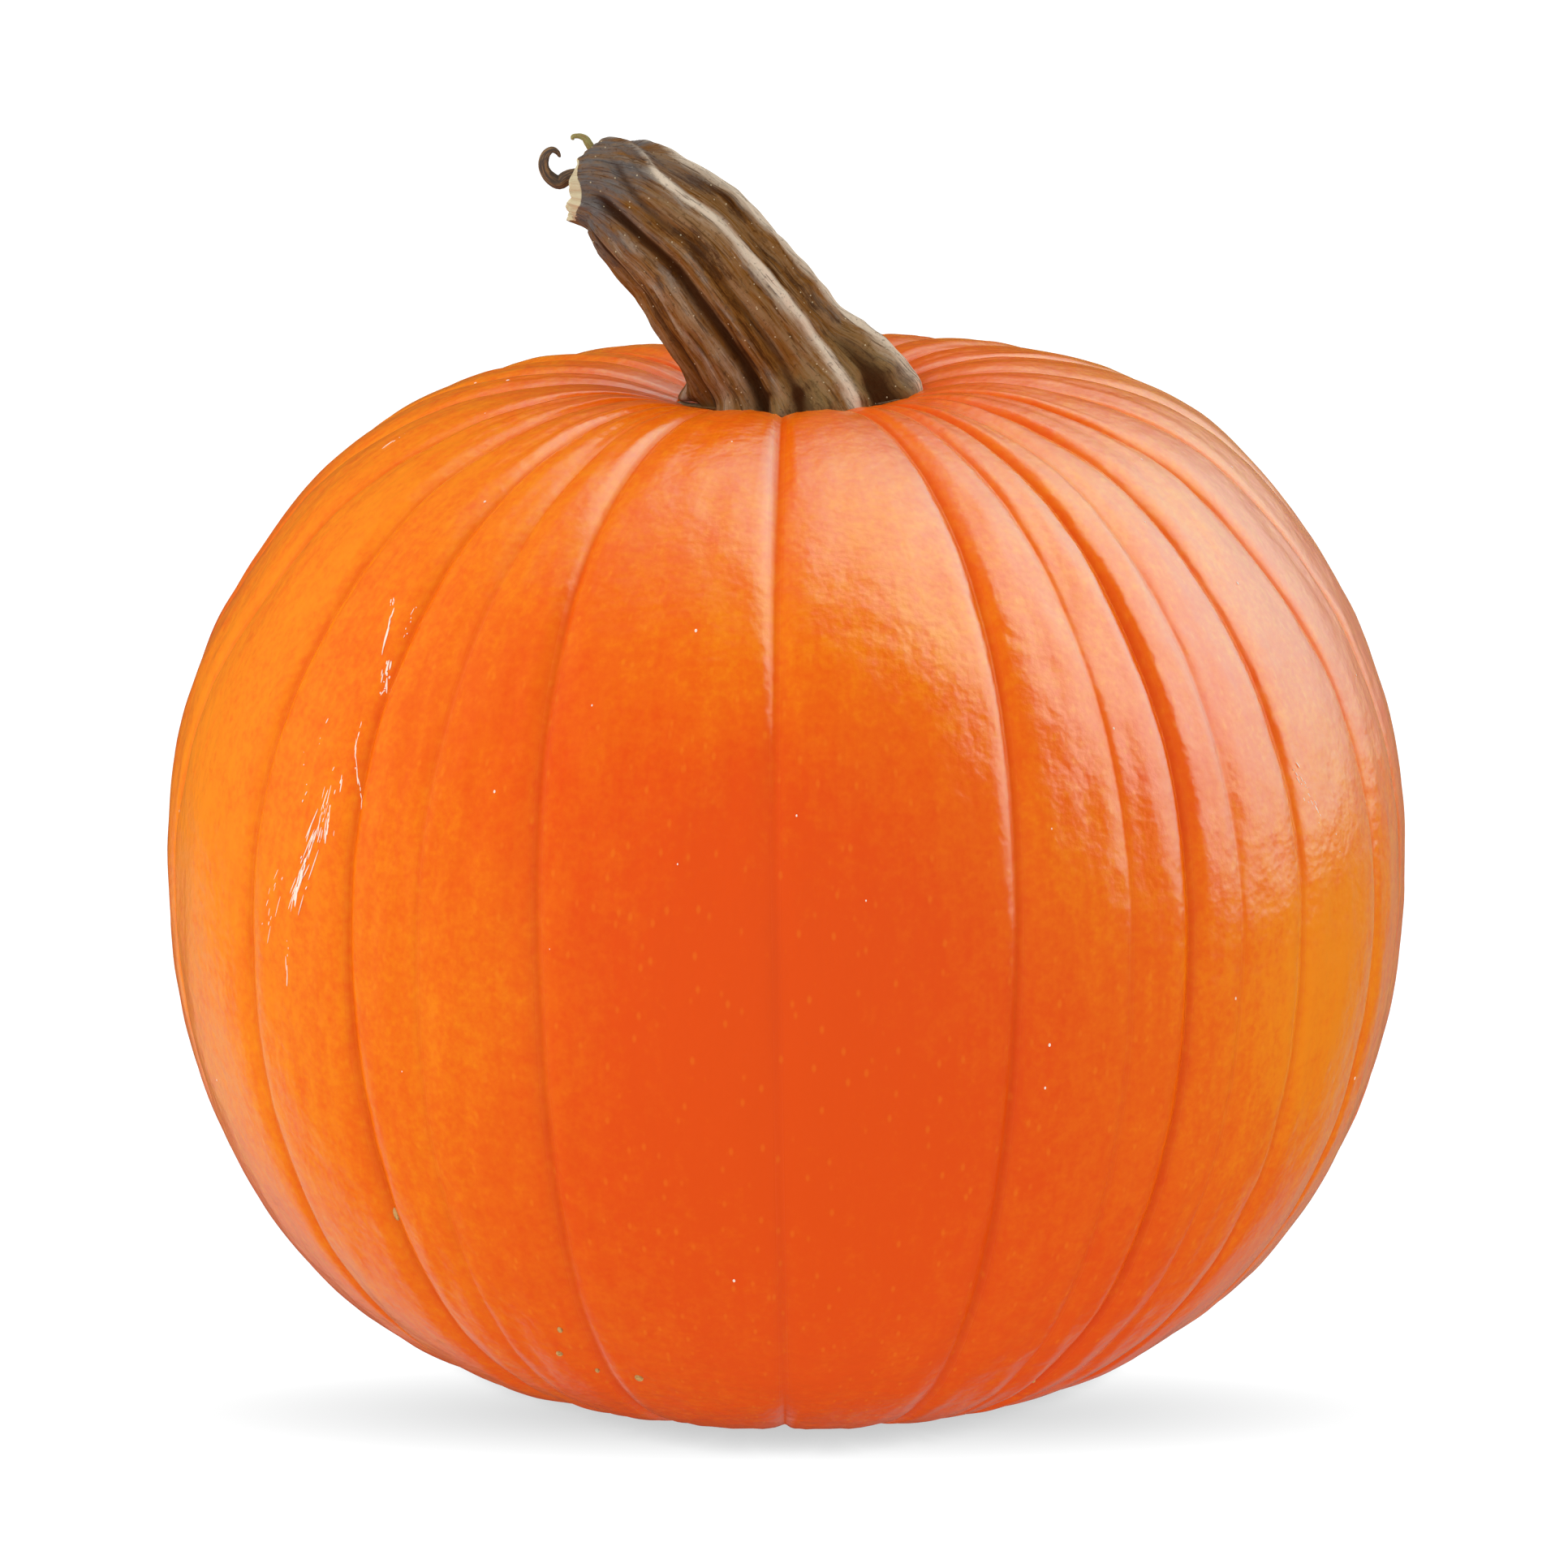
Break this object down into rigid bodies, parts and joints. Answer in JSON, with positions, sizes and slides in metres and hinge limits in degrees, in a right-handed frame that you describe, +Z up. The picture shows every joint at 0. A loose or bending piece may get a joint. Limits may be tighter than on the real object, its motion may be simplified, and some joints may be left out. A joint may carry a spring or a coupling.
{
  "type": "pumpkin",
  "caption": "Ripe round ribbed pumpkin with a curved, furrowed woody stem cut at the end, resting on a small flat spot.",
  "frame": {"origin": "middle of the fruit's footprint on the surface that it rests on", "axes": "+Z up through the fruit, -X towards the cut end of the leaning stem, -Y the side that the picture shows"},
  "size_m": [0.2801, 0.2799, 0.287],
  "materials": {
    "pumpkin_skin": "waxy orange rind with a soft sheen",
    "dry_stem": "dry furrowed woody stem"
  },
  "bodies": {
    "root": {"fruit": "pumpkin_skin", "stem": "dry_stem"}
  },
  "joints": []
}
